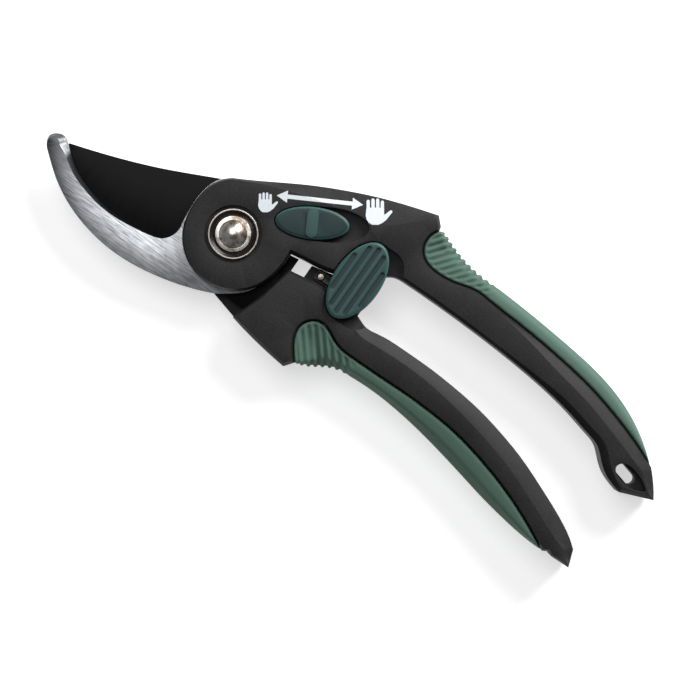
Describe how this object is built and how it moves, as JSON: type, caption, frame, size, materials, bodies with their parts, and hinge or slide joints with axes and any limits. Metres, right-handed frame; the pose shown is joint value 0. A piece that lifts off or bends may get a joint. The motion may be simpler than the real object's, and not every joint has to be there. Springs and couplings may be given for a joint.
{
  "type": "bypass pruner",
  "caption": "Hand pruner with a curved hook, a bypass cutting blade, two moulded handles with soft grips, a lock button and an opening-size slider.",
  "frame": {"origin": "pivot axis where it meets the surface the tool lies on, at the foot of the pivot bolt and nut", "axes": "+X towards the handle ends, +Y from the lower handle to the upper handle, +Z out of the front face"},
  "size_m": [0.2148, 0.0659, 0.0204],
  "materials": {
    "nylon": "fine-grained charcoal nylon",
    "soft_grip": "matte grey-green soft rubber",
    "coated_blade": "smooth black non-stick coating",
    "ground_steel": "ground lengthwise, with fine scratches",
    "polished_steel": "polished",
    "plain_steel": "zinc plated",
    "blackened_steel": "blackened",
    "teal_plastic": "dark teal, slightly glossy"
  },
  "bodies": {
    "lower_half": {"lower_handle": "nylon", "lower_grip": "soft_grip", "cutting_blade": "coated_blade", "blade_screws": "blackened_steel", "pivot_bolt": "polished_steel", "pivot_sleeve": "plain_steel", "cup_washer": "blackened_steel", "back_washer": "plain_steel", "pivot_nut": "plain_steel", "opening_spring": "plain_steel"},
    "upper_half": {"upper_handle": "nylon", "upper_grip": "soft_grip", "hook_blade": "ground_steel", "hook_screws": "blackened_steel"},
    "size_slider": {"size_slider": "teal_plastic", "slider_keeper": "plain_steel", "slider_screw": "plain_steel"},
    "lock_button": {"lock_button": "teal_plastic", "lock_catch": "blackened_steel", "catch_pin": "polished_steel", "lock_screw": "blackened_steel"}
  },
  "joints": [
    {"name": "handle_pivot", "type": "hinge", "parent": "lower_half", "child": "upper_half", "pos_m": [0, 0, 0], "axis": [0, 0, 1], "range_deg": [0, 30], "deforming": ["opening_spring"]},
    {"name": "size_slide", "type": "slide", "parent": "upper_half", "child": "size_slider", "axis": [0.8729, 0.4879, 0], "range_m": [0, 0.0057]},
    {"name": "lock_slide", "type": "slide", "parent": "lower_half", "child": "lock_button", "axis": [1, 0, 0], "range_m": [0, 0.005]}
  ]
}
